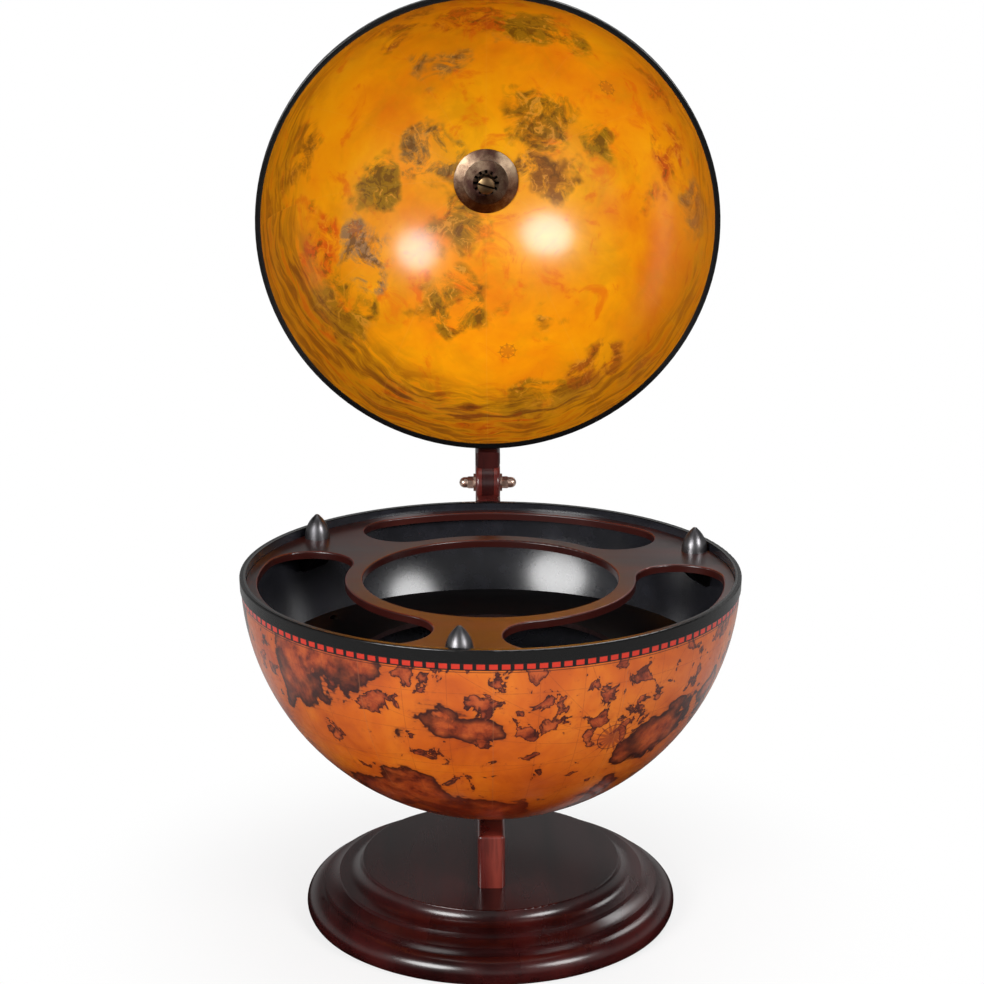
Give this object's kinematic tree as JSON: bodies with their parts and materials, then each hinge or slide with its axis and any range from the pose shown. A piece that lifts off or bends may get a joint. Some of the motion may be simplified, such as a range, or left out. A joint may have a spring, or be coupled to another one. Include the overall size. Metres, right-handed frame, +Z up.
{
  "type": "tabletop globe bar",
  "caption": "Tabletop globe on a turned base whose upper half hinges open on a C-shaped arm to show a tray with a bottle well and openings for glasses.",
  "frame": {"origin": "centre of the felt under the base, on the globe's polar axis", "axes": "+Z up along the polar axis; +Y towards the lid's hinge; +X to the right, along the hinge bolt"},
  "size_m": [0.3312, 0.5472, 0.6059],
  "materials": {
    "mahogany": "satin lacquer",
    "tray_mahogany": "satin lacquer",
    "shelf_wood": "black stain, satin lacquer",
    "block_wood": "black stain",
    "bowl_map": "varnished printed gores outside, black lacquer inside",
    "dome_map": "varnished printed gores inside and out",
    "rim_band": "gloss black",
    "gunmetal": "polished gunmetal",
    "bronze": "antique bronze",
    "brass": "polished",
    "steel": "turned",
    "blued_steel": "blackened",
    "nylon": "matte",
    "felt": "pressed felt"
  },
  "bodies": {
    "stand": {"base_disc": "mahogany", "base_felt": "felt", "foot_screws": "steel", "lower_arm": "mahogany", "hinge_bolt": "steel", "hinge_washers": "brass", "hinge_cap_nuts": "brass", "bowl_pole_spacer": "nylon", "bowl_axle_insert": "brass", "bowl_axle_bolt": "bronze", "bowl_axle_sleeve": "blued_steel", "bowl_lock_washer": "bronze"},
    "bowl": {"bowl_shell": "bowl_map", "bowl_rim_band": "rim_band", "bowl_boss": "bronze", "tray": "tray_mahogany", "lower_shelf": "shelf_wood", "shelf_screws": "blued_steel", "guide_peg_front": "gunmetal", "guide_peg_right": "gunmetal", "guide_peg_left": "gunmetal", "tray_cleat_front": "block_wood", "tray_cleat_right": "block_wood", "tray_cleat_left": "block_wood", "shelf_cleat_front": "block_wood", "shelf_cleat_right": "block_wood", "shelf_cleat_left": "block_wood"},
    "upper_arm": {"upper_arm": "mahogany", "hinge_bush": "brass", "dome_pole_spacer": "nylon", "dome_axle_insert": "brass", "dome_axle_bolt": "bronze", "dome_axle_sleeve": "blued_steel", "dome_lock_washer": "bronze"},
    "dome": {"dome_shell": "dome_map", "dome_rim_band": "rim_band", "dome_boss": "bronze"}
  },
  "joints": [
    {"name": "lid_hinge", "type": "hinge", "parent": "stand", "child": "upper_arm", "pos_m": [0, 0.1937, 0.2476], "axis": [1, 0, 0], "range_deg": [0, 85.9]},
    {"name": "bowl_spin", "type": "hinge", "parent": "stand", "child": "bowl", "pos_m": [0, 0, 0.2411], "axis": [0, 0, 1], "continuous": true},
    {"name": "dome_spin", "type": "hinge", "parent": "upper_arm", "child": "dome", "pos_m": [0, 0.17377, 0.44037], "axis": [0, 0.9974, 0.0715], "continuous": true}
  ]
}
